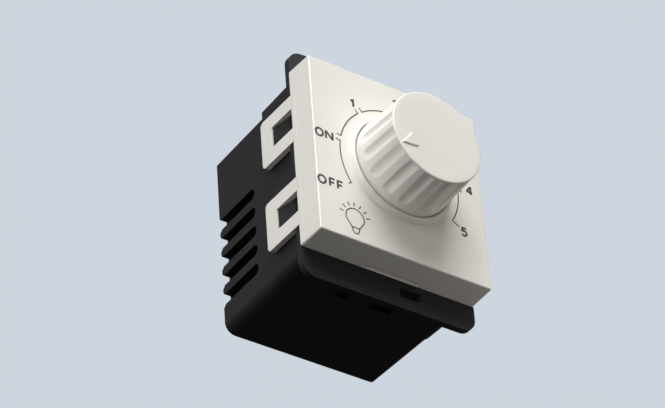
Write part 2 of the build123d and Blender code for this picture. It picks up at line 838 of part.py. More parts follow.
lead_reach = choke_outer_radius + wire_width / 2
choke_leads = [(choke_place[0] + side * lead_reach, choke_place[1]) for side in (-1, 1)]
turn_inside = sqrt(choke_inner_radius**2 - (wire_width / 2) ** 2)
turn_mid = (choke_outer_radius + turn_inside) / 2
turn_width = choke_outer_radius - turn_inside
with BuildPart() as wire_turn:
    with BuildSketch(Plane.XZ) as turn_area:
        with Locations((turn_mid, 0)):
            Rectangle(turn_width + 2 * wire_width, choke_length + 2 * wire_width)
            chamfer(turn_area.vertices(), wire_width / 2)
            Rectangle(turn_width, choke_length, mode=Mode.SUBTRACT)
    extrude(amount=wire_width / 2, both=True)
with BuildPart() as choke_winding:
    with Locations(Plane((choke_place[0], choke_mid_y, choke_place[1]), x_dir=(1, 0, 0), z_dir=(0, -1, 0))):
        with PolarLocations(0, choke_turns):
            add(wire_turn.part)
    with BuildSketch(at_depth(board_back_y + wire_width / 2)):
        with Locations(*choke_leads):
            Rectangle(wire_width, wire_width)
    extrude(amount=wire_width / 2 + lead_length)
choke_winding.part.label = "choke_winding"


# Film capacitors standing on the board
def film_capacitor(centre, size, depth, leads):
    """Box capacitor with bevelled edges and two leads through the board."""
    with BuildPart() as capacitor:
        with BuildSketch(at_depth(board_back_y + depth)):
            with Locations(centre):
                Rectangle(*size)
        extrude(amount=depth)
        chamfer(capacitor.faces().sort_by(Axis.Y)[-1].edges(), capacitor_edge)
        with BuildSketch(at_depth(board_back_y)):
            with Locations(*leads):
                Circle(axial_lead_radius)
        extrude(amount=lead_length)
    return capacitor.part


suppression_capacitor = film_capacitor(*main_capacitor, main_leads)
suppression_capacitor.label = "suppression_capacitor"
timing_capacitor = film_capacitor(*small_capacitor, small_leads)
timing_capacitor.label = "timing_capacitor"


def axial_part(places, radius, length):
    """Axial bodies lying along X on the board, each with its two bent leads."""
    body_y = board_back_y + radius + axial_lift
    reach = length / 2 + axial_lead_overhang
    with BuildPart() as axial:
        for centre_x, centre_z in places:
            with BuildSketch(Plane.YZ.offset(centre_x - length / 2)):
                with Locations((body_y, centre_z)):
                    Circle(radius)
            extrude(amount=length)
            with BuildSketch(Plane.YZ.offset(centre_x - reach)):
                with Locations((body_y, centre_z)):
                    Rectangle(2 * axial_lead_radius, 2 * axial_lead_radius)
            extrude(amount=2 * reach)
            with BuildSketch(at_depth(body_y)):
                with Locations((centre_x - reach, centre_z), (centre_x + reach, centre_z)):
                    Rectangle(2 * axial_lead_radius, 2 * axial_lead_radius)
            extrude(amount=body_y - board_back_y + lead_length)
    return axial.part


resistors = axial_part(resistor_places, resistor_radius, resistor_length)
resistors.label = "resistors"
diac = axial_part([diac_place], diac_radius, diac_length)
diac.label = "diac"


# Tunnel terminals, screws from above and links to the board
with BuildPart() as terminal_clamps:
    with BuildSketch(at_depth(clamp_back_y)):
        for terminal_x in terminal_xs:
            add(rectangle_face(terminal_x - clamp_width / 2, terminal_x + clamp_width / 2,
                               clamp_bottom, clamp_top))
    extrude(amount=clamp_length)
    chamfer(terminal_clamps.edges().filter_by(Axis.Y), clamp_edge)
    with BuildSketch(at_depth(clamp_back_y)):
        with Locations(*wire_places):
            Circle(wire_bore_radius)
    extrude(amount=wire_bore_length, mode=Mode.SUBTRACT)
    with BuildSketch(Plane.XY.offset(wire_bore_z)):
        with Locations(*[(terminal_x, clamp_front_y + clamp_length / 2) for terminal_x in terminal_xs]):
            Circle(terminal_screw_radius)
    extrude(amount=clamp_top - wire_bore_z, mode=Mode.SUBTRACT)
terminal_clamps.part.label = "terminal_clamps"

with BuildPart() as terminal_screws:
    with BuildSketch(Plane.XY.offset(clamp_top)):
        with Locations(*[(terminal_x, clamp_front_y + clamp_length / 2) for terminal_x in terminal_xs]):
            Circle(terminal_screw_head_radius)
    extrude(amount=terminal_screw_head)
    with BuildSketch(Plane.XY.offset(terminal_screw_tip_z)):
        with Locations(*[(terminal_x, clamp_front_y + clamp_length / 2) for terminal_x in terminal_xs]):
            Circle(terminal_screw_radius)
    extrude(amount=clamp_top - terminal_screw_tip_z)
    with BuildSketch(Plane.XY.offset(clamp_top + terminal_screw_head)):
        with Locations(*[(terminal_x, clamp_front_y + clamp_length / 2) for terminal_x in terminal_xs]):
            Rectangle(screw_slot[0], 3 * terminal_screw_head_radius)
    extrude(amount=-screw_slot[1], mode=Mode.SUBTRACT)
terminal_screws.part.label = "terminal_screws"

lug_z = clamp_bottom + lug_rise
with BuildPart() as terminal_lugs:
    with BuildSketch(at_depth(clamp_front_y)):
        with Locations(*[(terminal_x, lug_z) for terminal_x in terminal_xs]):
            Rectangle(lug_width, lug_thickness)
    extrude(amount=clamp_front_y - board_back_y)
    with BuildSketch(at_depth(board_back_y)):
        with Locations(*[(terminal_x, lug_z) for terminal_x in terminal_xs]):
            Rectangle(lead_width, lug_thickness)
    extrude(amount=lead_length)
terminal_lugs.part.label = "terminal_lugs"


# Board with a hole for each screw and lead
axial_leads = [
    (place[0] + side * (length / 2 + axial_lead_overhang), place[1])
    for places, length in ((resistor_places, resistor_length), ([diac_place], diac_length))
    for place in places
    for side in (-1, 1)
]
lead_holes = (
    [(tag_x, tag_bend_z + tag_thickness / 2) for tag_x in tag_xs]
    + [(pin_x, switch_pin_z) for pin_x in switch_pin_xs]
    + [(lead_bend_x - lead_thickness / 2, lead_z) for lead_z in lead_zs]
    + [(terminal_x, lug_z) for terminal_x in terminal_xs]
    + choke_leads
    + main_leads
    + small_leads
    + axial_leads
)
with BuildPart() as circuit_board:
    with BuildSketch(at_depth(board_back_y)):
        add(rectangle_face(-board_half_width, board_half_width, board_bottom, board_top))
        with Locations(*post_places):
            Circle(board_hole_radius, mode=Mode.SUBTRACT)
        with Locations(*lead_holes):
            Rectangle(lead_hole, lead_hole, mode=Mode.SUBTRACT)
    extrude(amount=board_thickness)
circuit_board.part.label = "circuit_board"

with BuildPart() as board_screws:
    with BuildSketch(at_depth(board_back_y + board_screw_head)):
        with Locations(*post_places):
            Circle(board_screw_head_radius)
    extrude(amount=board_screw_head)
    chamfer(board_screws.faces().group_by(Axis.Y)[-1].edges(), board_screw_edge)
    with BuildSketch(at_depth(board_back_y)):
        with Locations(*post_places):
            Circle(board_screw_radius)
    extrude(amount=board_thickness + board_screw_length)
board_screws.part.label = "board_screws"


os.makedirs("parts", exist_ok=True)
pieces = [
    front_plate.part, knob.part, knob_clip.part, pot_shaft.part, retaining_ring.part, mounting_frame.part,
    rear_housing.part, pot_washer.part, pot_nut.part, pot_bush.part, pot_case.part, wiper_rotor.part,
    wiper_contact.part, resistance_track.part, pot_pins.part, power_switch.part, switch_pins.part,
    heat_sink.part, insulating_pad.part, triac_tab.part, triac_body.part, triac_screw.part, triac_nut.part,
    choke_core.part, choke_winding.part, suppression_capacitor, timing_capacitor, resistors, diac,
    terminal_clamps.part, terminal_screws.part, terminal_lugs.part, circuit_board.part, board_screws.part,
]
for piece in pieces:
    export_step(piece, f"parts/{piece.label}.step")
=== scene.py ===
from math import ceil, cos, pi, radians, sin, sqrt

import bmesh
import bpy
from bpy.props import FloatProperty, FloatVectorProperty, IntProperty, PointerProperty
from bpy.types import Operator, Panel, PropertyGroup
from mathutils import Matrix, Vector


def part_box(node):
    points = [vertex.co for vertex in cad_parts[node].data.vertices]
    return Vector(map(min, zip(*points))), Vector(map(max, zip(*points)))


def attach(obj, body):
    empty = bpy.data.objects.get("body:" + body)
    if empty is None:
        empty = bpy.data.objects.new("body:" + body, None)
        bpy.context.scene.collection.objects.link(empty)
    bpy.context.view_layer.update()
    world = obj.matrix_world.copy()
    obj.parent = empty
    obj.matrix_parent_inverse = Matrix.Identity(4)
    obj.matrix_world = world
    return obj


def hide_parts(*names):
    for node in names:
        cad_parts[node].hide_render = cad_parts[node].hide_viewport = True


bl_info = {
    "name": "Rotary Dimmer Insert",
    "version": (1, 0, 0),
    "blender": (4, 2, 0),
    "location": "3D View > Sidebar > Dimmer",
    "description": "Finishes, print and fine pieces of a two-module rotary dimmer, with a studio stage",
    "category": "Object",
}

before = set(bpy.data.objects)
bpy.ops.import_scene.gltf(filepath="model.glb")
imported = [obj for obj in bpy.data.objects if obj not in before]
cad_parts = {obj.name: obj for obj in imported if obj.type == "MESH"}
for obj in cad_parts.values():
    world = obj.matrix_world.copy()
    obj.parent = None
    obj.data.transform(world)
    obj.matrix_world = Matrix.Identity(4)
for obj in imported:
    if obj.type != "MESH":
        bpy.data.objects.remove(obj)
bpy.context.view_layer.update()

MM = 0.001
FIXED_BODY = "dimmer_body"
DIAL_BODY = "dial"

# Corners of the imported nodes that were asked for, so that each is measured once
BOXES = {}


def from_hex(text):
    """sRGB hex colour as linear RGBA."""
    channels = [int(text[i:i + 2], 16) / 255 for i in (1, 3, 5)]
    linear = [c / 12.92 if c <= 0.04045 else ((c + 0.055) / 1.055) ** 2.4 for c in channels]
    return (*linear, 1.0)


def size_property(name, description, default):
    """A length in metres with a default written in millimetres."""
    return FloatProperty(
        name=name, description=description, default=default * MM, min=0, unit="LENGTH", precision=5
    )


def colour_property(name, description, default):
    """A colour whose default is written as sRGB hex."""
    return FloatVectorProperty(
        name=name,
        description=description,
        default=from_hex(default)[:3],
        size=3,
        min=0,
        max=1,
        subtype="COLOR",
    )


def angle_property(name, description, default):
    """An angle with a default written in degrees."""
    return FloatProperty(name=name, description=description, default=radians(default), subtype="ANGLE")


class DimmerSizes(PropertyGroup):
    """Sizes of the dial, of the print and of the softened edges."""

    cap_radius: size_property("Cap radius", "Radius of the dial's flat cap", 11.1)
    cap_lip: size_property("Cap lip", "Depth of the plain lip round the cap", 0.35)
    cap_edge: size_property("Cap edge", "Rounding of the cap's rim", 0.25)
    skirt_length: size_property("Skirt length", "Plain skirt behind the flutes", 2.4)
    knob_wall: size_property("Knob wall", "Wall thickness of the dial", 1.7)
    hub_radius: size_property("Hub radius", "Outside of the hub on the shaft", 4.6)
    bore_radius: size_property("Bore radius", "Bore of the hub", 3.0)
    hub_step: size_property("Hub step", "Distance of the hub's end from the skirt's", 0.6)
    bore_depth: size_property("Bore depth", "Where the bore ends, behind the cap", 2.6)
    flute_count: IntProperty(name="Flutes", description="Grooves round the dial", default=17, min=3)
    flute_radius: size_property("Flute radius", "Radius of the round groove cutter", 2.0)
    flute_depth: size_property("Flute depth", "Depth of a groove", 0.5)
    flute_margin: size_property("Flute margin", "Plain wall between a groove's end and the skirt", 0.2)
    flute_phase: angle_property("Flute phase", "Angle of one groove", 193)
    pointer_angle: angle_property("Pointer angle", "Where the arrowhead points at rest", 208)
    pointer_tip: size_property("Pointer tip", "Distance of the arrowhead's tip from the axis", 10.6)
    pointer_base: size_property("Pointer base", "Distance of the arrowhead's base from the axis", 6.6)
    pointer_half_width: size_property("Pointer half width", "Half the width of the arrowhead", 1.8)
    pointer_height: size_property("Pointer height", "How far the arrowhead stands proud", 0.3)
    scale_radius: size_property("Scale radius", "Radius of the printed arc", 15.0)
    line_width: size_property("Line width", "Width of the printed lines", 0.27)
    stroke_width: size_property("Stroke width", "Width of the strokes of letters and numerals", 0.5)
    ink_height: size_property("Ink height", "Thickness of the printed ink", 0.03)
    letter_height: size_property("Letter height", "Height of capitals between stroke middles", 1.95)
    edge_softness: size_property("Edge softness", "Rounding of the moulded edges", 0.12)
    loop_corner: size_property("Loop corner", "Radius of the latch loops' outer corners", 1.0)


class DimmerColours(PropertyGroup):
    """Base colours of the finishes."""

    white: colour_property("White shell", "Moulded polycarbonate of the face and the dial", "#EBE8E1")
    black: colour_property("Black shell", "Moulded nylon of the body", "#0C0C10")
    ink: colour_property("Print", "Pad printed scale and lettering", "#4B4A47")


class StageSettings(PropertyGroup):
    """Camera, world light and backdrop."""

    azimuth: angle_property("Azimuth", "Camera direction, 0 looks into the wall", -37.24)
    elevation: angle_property("Elevation", "Camera height above the horizon", -37.19)
    roll: angle_property("Roll", "Turn of the picture", 4.39)
    distance: size_property("Distance", "Camera distance from the point it looks at", 719.7)
    aim: FloatVectorProperty(
        name="Aim",
        description="Point in the middle of the picture",
        default=(-5.8 * MM, 9.4 * MM, 0),
        unit="LENGTH",
    )
    lens: FloatProperty(
        name="Lens",
        description="Focal length on a 36 mm sensor",
        default=186.4 * MM,
        subtype="DISTANCE_CAMERA",
    )
    backdrop: colour_property("Backdrop", "Pale colour behind the object", "#CDD5DE")
    floor_drop: size_property("Floor drop", "How far the floor lies below the object", 1200)
    sky: FloatProperty(
        name="Sky", description="Strength of the light from above", default=0.26, min=0
    )
    ground: FloatProperty(
        name="Ground", description="Strength of the light from below", default=0.035, min=0
    )


def sizes():
    """The size properties of this scene."""
    return bpy.context.scene.dimmer_sizes


def colours():
    """The colour properties of this scene."""
    return bpy.context.scene.dimmer_colours


def node_box(name):
    """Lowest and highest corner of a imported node, as vectors."""
    if name not in BOXES:
        low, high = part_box(name)
        BOXES[name] = (Vector(low), Vector(high))
    return BOXES[name]


def add_node(tree, kind, inputs=None, links=None, **settings):
    """Adds one shader node with its settings, input values and incoming links."""
    node = tree.nodes.new(kind)
    for key, value in settings.items():
        setattr(node, key, value)
    for key, value in (inputs or {}).items():
        node.inputs[key].default_value = value
    for key, source in (links or {}).items():
        tree.links.new(source, node.inputs[key])
    return node


def new_material(name):
    """An empty material with its principled shader and its object coordinates."""
    material = bpy.data.materials.new(name)
    material.use_nodes = True
    tree = material.node_tree
    tree.nodes.clear()
    shader = add_node(tree, "ShaderNodeBsdfPrincipled")
    output = add_node(tree, "ShaderNodeOutputMaterial")
    tree.links.new(shader.outputs["BSDF"], output.inputs["Surface"])
    place = add_node(tree, "ShaderNodeTexCoord").outputs["Object"]
    return material, tree, shader, place


# Nearly all of a noise's values lie between these two.
NOISE_LOW = 0.3
NOISE_HIGH = 0.7


def grain(tree, place, size, detail=2.0, roughness=0.5):
    """Noise whose features are about that size in metres."""
    return add_node(
        tree,
        "ShaderNodeTexNoise",
        inputs={"Scale": 1 / size, "Detail": detail, "Roughness": roughness},
        links={"Vector": place},
    ).outputs["Fac"]


def between(tree, source, low, high):
    """Spreads a noise over low..high."""
    return add_node(
        tree,
        "ShaderNodeMapRange",
        inputs={"From Min": NOISE_LOW, "From Max": NOISE_HIGH, "To Min": low, "To Max": high},
        links={"Value": source},
    ).outputs["Result"]


def mottle(tree, source, colour, spread):
    """The colour, a little darker and lighter along a noise."""
    dark = [c * (1 - spread) for c in colour[:3]]
    light = [min(1, c * (1 + spread)) for c in colour[:3]]
    ramp = add_node(tree, "ShaderNodeValToRGB", links={"Fac": source})
    ramp.color_ramp.elements[0].position = NOISE_LOW
    ramp.color_ramp.elements[0].color = (*dark, 1)
    ramp.color_ramp.elements[1].position = NOISE_HIGH
    ramp.color_ramp.elements[1].color = (*light, 1)
    return ramp.outputs["Color"]


def relief(tree, source, depth):
    """Bump normal whose full height is depth in metres."""
    return add_node(
        tree, "ShaderNodeBump", inputs={"Strength": 1.0, "Distance": depth}, links={"Height": source}
    ).outputs["Normal"]


def glossy_white_polycarbonate():
    """White polycarbonate moulded against polished steel: soft even gloss with a very faint orange peel."""
    material, tree, shader, place = new_material("glossy_white_polycarbonate")
    peel = grain(tree, place, 1.4 * MM)
    haze = grain(tree, place, 9 * MM)
    tree.links.new(mottle(tree, haze, colours().white, 0.012), shader.inputs["Base Color"])
    tree.links.new(between(tree, haze, 0.36, 0.42), shader.inputs["Roughness"])
    tree.links.new(relief(tree, peel, 0.004 * MM), shader.inputs["Normal"])
    shader.inputs["IOR"].default_value = 1.58
    # Light goes in a little under a millimetre, which takes the hardness off the edges.
    shader.inputs["Subsurface Weight"].default_value = 0.08
    shader.inputs["Subsurface Radius"].default_value = (0.9 * MM, 0.85 * MM, 0.75 * MM)
    shader.inputs["Subsurface Scale"].default_value = 1.0
    return material


def spark_textured_black_nylon():
    """Black nylon moulded against spark-eroded steel: a fine dull grain that greys towards the light."""
    material, tree, shader, place = new_material("spark_textured_black_nylon")
    # Real grain of about 0.05 mm is drawn at 0.2 mm so that it shows.
    fine = grain(tree, place, 0.2 * MM, detail=3.0)
    cloud = grain(tree, place, 4 * MM)
    tree.links.new(mottle(tree, cloud, colours().black, 0.12), shader.inputs["Base Color"])
    tree.links.new(between(tree, fine, 0.5, 0.66), shader.inputs["Roughness"])
    tree.links.new(relief(tree, fine, 0.012 * MM), shader.inputs["Normal"])
    shader.inputs["IOR"].default_value = 1.53
    return material


def pad_printed_ink():
    """Pad printed grey ink: flat, thin, a little patchy where the pad lifted."""
    material, tree, shader, place = new_material("pad_printed_ink")
    patch = grain(tree, place, 0.5 * MM)
    tree.links.new(mottle(tree, patch, colours().ink, 0.15), shader.inputs["Base Color"])
    tree.links.new(between(tree, patch, 0.55, 0.7), shader.inputs["Roughness"])
    return material


def worked_surface(name, colour, metallic=0.0, roughness=(0.4, 0.5), grain_size=0.5, depth=0.003,
                   stretch=(1, 1, 1), ior=None, spread=0.08):
    """A surface whose colour, gloss and relief follow one grain, with grain size and depth in millimetres.

    A stretch above 1 packs the grain closer along that axis, and one below 1 draws it out."""
    material, tree, shader, place = new_material(name)
    drawn = add_node(tree, "ShaderNodeMapping", inputs={"Scale": stretch}, links={"Vector": place})
    source = grain(tree, drawn.outputs["Vector"], grain_size * MM, detail=3.0)
    tree.links.new(mottle(tree, source, from_hex(colour), spread), shader.inputs["Base Color"])
    tree.links.new(between(tree, source, *roughness), shader.inputs["Roughness"])
    tree.links.new(relief(tree, source, depth * MM), shader.inputs["Normal"])
    shader.inputs["Metallic"].default_value = metallic
    if ior:
        shader.inputs["IOR"].default_value = ior
    return material


# The pieces inside, each group with the surface that its making leaves
INNER_SURFACES = (
    # Rolled and blued strip: dark grey, with fine streaks along the rolling
    (("knob_clip", "retaining_ring"), "rolled_blued_spring_steel",
     {"colour": "#62646B", "metallic": 1.0, "roughness": (0.28, 0.4), "grain_size": 0.4,
      "stretch": (1, 8, 1)}),
    # Turned bar with nickel on it: rings round the axis that catch the light as fine bands
    (("pot_shaft", "pot_bush"), "turned_nickel_plated_brass",
     {"colour": "#C9C2A8", "metallic": 1.0, "roughness": (0.18, 0.3), "grain_size": 2.0,
      "stretch": (1, 20, 1)}),
    # Barrel-plated steel: cool bright grey, a little cloudy
    (("pot_nut", "pot_washer", "pot_case", "triac_screw", "triac_nut", "board_screws", "terminal_screws"),
     "barrel_plated_zinc_steel",
     {"colour": "#B9BEC4", "metallic": 1.0, "roughness": (0.25, 0.42), "grain_size": 0.6, "spread": 0.12}),
    # Slippery moulded disc: dark, with the low sheen of acetal
    (("wiper_rotor",), "moulded_acetal",
     {"colour": "#2B2B2E", "roughness": (0.3, 0.4), "grain_size": 0.4, "ior": 1.48}),
    # Punched strip dipped in tin: pale warm grey with soft runs
    (("wiper_contact", "pot_pins", "switch_pins", "terminal_lugs"), "punched_tinned_brass",
     {"colour": "#CFCBBE", "metallic": 1.0, "roughness": (0.22, 0.38), "grain_size": 0.5,
      "stretch": (1, 0.4, 1)}),
    # Compression moulded case of the snap switch: charcoal, matt
    (("power_switch",), "moulded_phenolic_switch_case",
     {"colour": "#2E2D30", "roughness": (0.5, 0.62), "grain_size": 0.3, "depth": 0.006, "ior": 1.55}),
    # Plate cut from mill-finish sheet: light, with long rolling lines from top to bottom
    (("heat_sink",), "sheared_mill_finish_aluminium",
     {"colour": "#D3D5D8", "metallic": 1.0, "roughness": (0.26, 0.4), "grain_size": 0.35,
      "stretch": (1, 1, 0.05)}),
    # Die-cut silicone sheet filled with ceramic: flat mid grey, dusty
    (("insulating_pad",), "die_cut_silicone_sheet",
     {"colour": "#9DA3A3", "roughness": (0.75, 0.9), "grain_size": 0.2, "ior": 1.41}),
    # Transfer moulded epoxy: black, very fine matt grain
    (("triac_body",), "transfer_moulded_epoxy",
     {"colour": "#222224", "roughness": (0.55, 0.7), "grain_size": 0.15, "depth": 0.006, "ior": 1.56}),
    # Stamped copper under tin: bright grey, brushed along the tab
    (("triac_tab",), "stamped_tinned_copper",
     {"colour": "#C8C4BF", "metallic": 1.0, "roughness": (0.2, 0.34), "grain_size": 0.4,
      "stretch": (0.2, 1, 1)}),
    # Paper laminate punched while warm: brown, fibres showing through the resin
    (("circuit_board",), "punched_paper_laminate",
     {"colour": "#B98F4E", "roughness": (0.42, 0.55), "grain_size": 0.5, "stretch": (0.3, 1, 1),
      "spread": 0.14}),
    # Pressed iron powder with a dipped coat: yellow, slightly lumpy
    (("choke_core",), "dip_coated_iron_powder",
     {"colour": "#D8B93A", "roughness": (0.4, 0.55), "grain_size": 0.8, "depth": 0.02, "ior": 1.55}),
    # Drawn copper wire under clear brown enamel: deep orange with a wet gloss
    (("choke_winding",), "enamelled_drawn_copper_wire",
     {"colour": "#B5602C", "metallic": 1.0, "roughness": (0.12, 0.22), "grain_size": 0.6, "depth": 0.001}),
    # Moulded box filled with resin: egg-yolk yellow, satin
    (("suppression_capacitor",), "moulded_yellow_polyester_box",
     {"colour": "#E3B23A", "roughness": (0.35, 0.45), "grain_size": 0.7, "ior": 1.55}),
    # Film winding dipped in epoxy: brick red, glossy, uneven
    (("timing_capacitor",), "dipped_red_epoxy",
     {"colour": "#8F3A26", "roughness": (0.15, 0.28), "grain_size": 1.2, "depth": 0.02, "ior": 1.55}),
    # Baked lacquer over the carbon film: sand coloured, semi-matt
    (("resistors",), "baked_resistor_lacquer",
     {"colour": "#CDB583", "roughness": (0.3, 0.42), "grain_size": 0.4, "ior": 1.5}),
    # Glass bead with blue lacquer inside: hard gloss
    (("diac",), "fused_blue_glass",
     {"colour": "#38568F", "roughness": (0.05, 0.12), "grain_size": 0.6, "depth": 0.001, "ior": 1.52}),
    # Block milled from brass bar: yellow, with close tool lines along the bore
    (("terminal_clamps",), "milled_brass",
     {"colour": "#C79C56", "metallic": 1.0, "roughness": (0.2, 0.34), "grain_size": 0.35,
      "stretch": (1, 0.1, 1)}),
)

# The ring of carbon on its wafer: the middle of the ring, half its width and the blur of its edges
TRACK_RADIUS = 5.4 * MM
TRACK_HALF_WIDTH = 1.3 * MM
TRACK_EDGE = 0.05 * MM


def screened_carbon_on_phenolic():
    """Brown phenolic wafer with a ring of screened carbon: dull black where the wiper runs."""
    material, tree, shader, place = new_material("screened_carbon_on_phenolic")
    parts = add_node(tree, "ShaderNodeSeparateXYZ", links={"Vector": place})
    flat = add_node(
        tree, "ShaderNodeCombineXYZ", links={"X": parts.outputs["X"], "Y": parts.outputs["Z"]}
    )
    radius = add_node(
        tree, "ShaderNodeVectorMath", operation="LENGTH", links={0: flat.outputs["Vector"]}
    ).outputs["Value"]
    offset = add_node(
        tree, "ShaderNodeMath", operation="SUBTRACT", inputs={1: TRACK_RADIUS}, links={0: radius}
    )
    away = add_node(tree, "ShaderNodeMath", operation="ABSOLUTE", links={0: offset.outputs["Value"]})
    ring = add_node(
        tree,
        "ShaderNodeMapRange",
        inputs={
            "From Min": TRACK_HALF_WIDTH - TRACK_EDGE,
            "From Max": TRACK_HALF_WIDTH + TRACK_EDGE,
            "To Min": 1.0,
            "To Max": 0.0,
        },
        links={"Value": away.outputs["Value"]},
    ).outputs["Result"]
    fibres = grain(tree, place, 0.4 * MM, detail=3.0)
    colour = add_node(
        tree,
        "ShaderNodeMix",
        data_type="RGBA",
        inputs={"B": from_hex("#1D1C1C")},
        links={"Factor": ring, "A": mottle(tree, fibres, from_hex("#8A5A30"), 0.12)},
    )
    tree.links.new(colour.outputs["Result"], shader.inputs["Base Color"])
    tree.links.new(between(tree, fibres, 0.5, 0.65), shader.inputs["Roughness"])
    return material


def give(material, *names):
    """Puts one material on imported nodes."""
    for name in names:
        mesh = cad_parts[name].data
        mesh.materials.clear()
        mesh.materials.append(material)


def mesh_object(name, mesh, material, body):
    """Links a mesh as one named piece that rides on a body."""
    piece = bpy.data.objects.new(name, mesh)
    bpy.context.scene.collection.objects.link(piece)
    mesh.materials.append(material)
    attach(piece, body)
    return piece


def dial_point(radius, angle, y):
    """Point at a radius and dial angle, counted up from the right as seen from the room."""
    return Vector((radius * cos(angle), y, radius * sin(angle)))


def wrap_rows(mesh, rows):
    """Joins rows of equal length into a band, each row closed on itself."""
    for row, following in zip(rows, rows[1:]):
        count = len(row)
        for i in range(count):
            j = (i + 1) % count
            mesh.faces.new((row[i], row[j], following[j], following[i]))


def close_ends(mesh, rows):
    """Puts a face on the first and the last row of a band."""
    mesh.faces.new(rows[0])
    mesh.faces.new(rows[-1])


def finished_mesh(name, working, smooth_angle=30):
    """Turns a bmesh into mesh data with outward faces, smooth up to an angle in degrees."""
    bmesh.ops.recalc_face_normals(working, faces=working.faces)
    for face in working.faces:
        face.smooth = True
    for edge in working.edges:
        if len(edge.link_faces) == 2 and edge.calc_face_angle(0) > radians(smooth_angle):
            edge.smooth = False
    mesh = bpy.data.meshes.new(name)
    working.to_mesh(mesh)
    working.free()
    return mesh


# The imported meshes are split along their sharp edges, so points this close are one.
SEAM_REACH = 0.001 * MM

# An edge is found again in the split mesh by its middle, counted in these steps.
MIDDLE_STEP = 0.01 * MM

# A loop's square corner: how near the loop's far end it is, how much of it runs along X, how sharp it is
LOOP_END_REACH = 0.05 * MM
LOOP_EDGE_STRAIGHTNESS = 0.9
LOOP_CORNER_ANGLE = radians(60)


def middle_key(start, end):
    """Middle of an edge, rounded so that the same edge gives the same key."""
    return tuple(round(c / MIDDLE_STEP) for c in (start + end) / 2)


def mark_loop_corners(plate):
    """Marks the square outer corners of the latch loops: sharp edges along X at the loops' far ends."""
    mesh = plate.data
    far_y = node_box("front_plate")[1].y - LOOP_END_REACH
    working = bmesh.new()
    working.from_mesh(mesh)
    bmesh.ops.remove_doubles(working, verts=working.verts, dist=SEAM_REACH)
    corners = set()
    for edge in working.edges:
        start, end = (vert.co for vert in edge.verts)
        along_x = abs(end.x - start.x) > LOOP_EDGE_STRAIGHTNESS * edge.calc_length()
        at_far_end = min(start.y, end.y) > far_y
        if along_x and at_far_end and edge.calc_face_angle(0) > LOOP_CORNER_ANGLE:
            corners.add(middle_key(start, end))
    working.free()
    marks = mesh.attributes.new("bevel_weight_edge", "FLOAT", "EDGE")
    for edge in mesh.edges:
        start, end = (mesh.vertices[i].co for i in edge.vertices)
        if middle_key(start, end) in corners:
            marks.data[edge.index].value = 1.0


def soften(piece, width, corner_radius=0):
    """Rounds the piece's sharp edges, as a mould does, and keeps its flat faces flat."""
    seams = piece.modifiers.new("close_seams", "WELD")
    seams.merge_threshold = SEAM_REACH
    merge = piece.modifiers.new("merge_flats", "DECIMATE")
    merge.decimate_type = "DISSOLVE"
    merge.angle_limit = radians(1.0)
    if corner_radius:
        corners = piece.modifiers.new("marked_corners", "BEVEL")
        corners.width = corner_radius
        corners.segments = 5
        corners.limit_method = "WEIGHT"
    bevel = piece.modifiers.new("soft_edges", "BEVEL")
    bevel.width = width
    bevel.segments = 2
    bevel.limit_method = "ANGLE"
    bevel.angle_limit = radians(40)
    bevel.harden_normals = True
    shading = piece.modifiers.new("flat_shading_on_flats", "WEIGHTED_NORMAL")
    shading.mode = "FACE_AREA"


# Widths of the softened edges inside, in millimetres: the usual one, and those of pieces that differ
INNER_EDGE = 0.08
INNER_EDGES = {
    "choke_winding": 0.28,
    "resistors": 0.14,
    "diac": 0.14,
    "insulating_pad": 0.03,
    "triac_body": 0.12,
    "resistance_track": 0.05,
}


class DIMMER_OT_shells(Operator):
    """Gives the moulded shells their finishes and soft edges"""

    bl_idname = "object.dimmer_shells"
    bl_label = "Shells"

    def execute(self, context):
        s = sizes()
        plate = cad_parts["front_plate"]
        give(glossy_white_polycarbonate(), "front_plate")
        give(spark_textured_black_nylon(), "mounting_frame", "rear_housing")
        mark_loop_corners(plate)
        soften(plate, s.edge_softness, corner_radius=s.loop_corner)
        for name in ("mounting_frame", "rear_housing"):
            soften(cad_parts[name], s.edge_softness)
        return {"FINISHED"}


# Resistors, in millimetres: where their bodies are along X, how long a body is, and half a band's width
RESISTOR_CENTRES = (-9.5, 4.5)
RESISTOR_BODY = 6.3
BAND_HALF_WIDTH = 0.3

# The bands as name, colour and place along half a body
RESISTOR_BANDS = (
    ("brown", "#5A3216", -0.66),
    ("black", "#1B1B1B", -0.33),
    ("orange", "#D8702A", 0.0),
    ("gold", "#A8813A", 0.6),
)

# Corners of a band's section: which side of its middle, and the share of the resistor's radius
BAND_SECTION = ((-1, 0.99), (-1, 1.012), (1, 1.012), (1, 0.99))
BAND_STEPS = 32

# The bush's thread: a ridge with its root sunk into the bush, from near the bush's front to near the nut
BUSH_RADIUS = 3.5 * MM
THREAD_SINK = 0.02 * MM
THREAD_HEIGHT = 0.06 * MM
THREAD_PITCH = 0.75 * MM
THREAD_HALF_WIDTH = 0.2 * MM
THREAD_LEAD = 0.3 * MM
THREAD_NUT_GAP = 0.1 * MM
THREAD_STEPS_PER_TURN = 40


